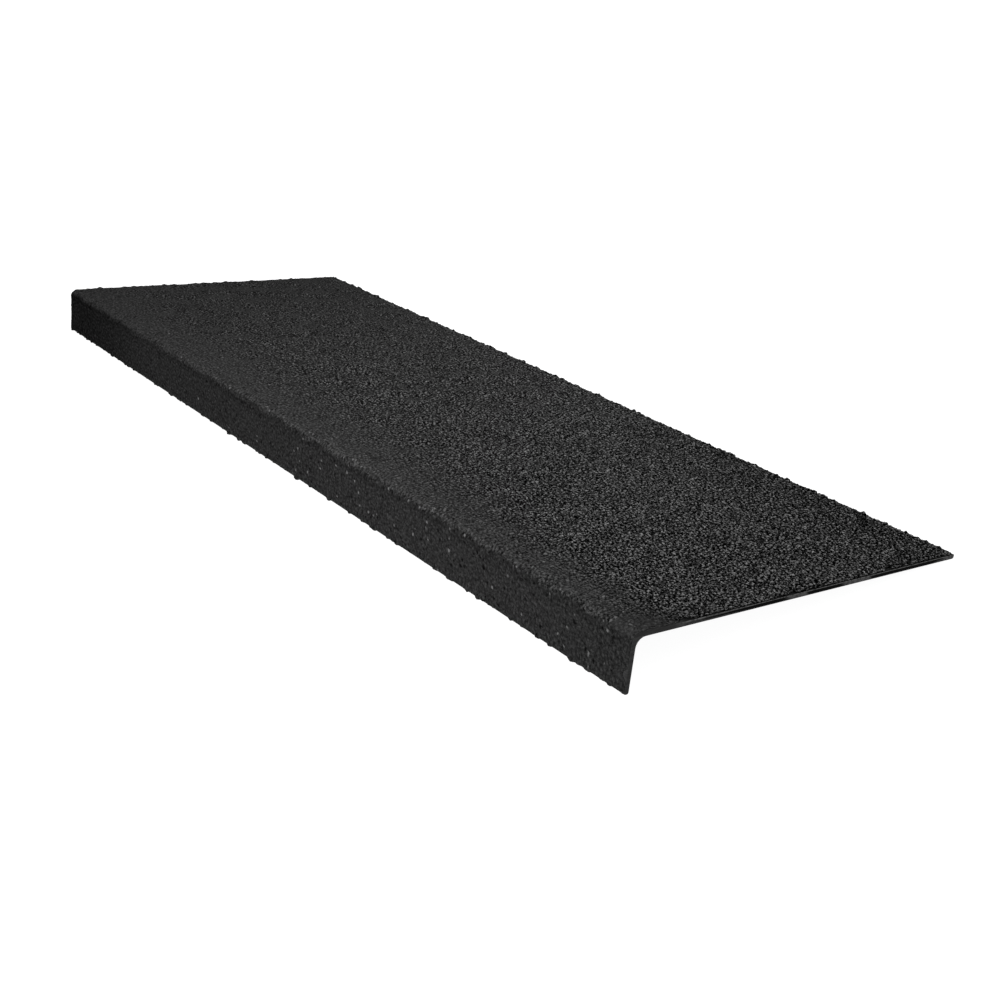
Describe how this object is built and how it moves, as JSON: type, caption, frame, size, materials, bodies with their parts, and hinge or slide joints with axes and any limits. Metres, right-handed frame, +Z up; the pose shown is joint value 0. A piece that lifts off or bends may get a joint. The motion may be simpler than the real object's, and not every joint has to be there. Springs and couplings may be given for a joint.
{
  "type": "stair nosing",
  "caption": "Deep L-shaped anti-slip stair nosing: a gritted tread cover with a short lip that turns down over the front edge of a step.",
  "frame": {"origin": "on the floor, under the middle of the outer box, as the piece lies on its lip and back edge", "axes": "+X along the length, +Y from the lip towards the back edge, +Z up from the floor"},
  "size_m": [0.75, 0.2722, 0.0353],
  "materials": {
    "gritted_grp": "charcoal glass-reinforced plastic, coarse bonded grit on the top and front, plain resin on the back and cut ends"
  },
  "bodies": {
    "root": {"stair_nosing": "gritted_grp"}
  },
  "joints": []
}
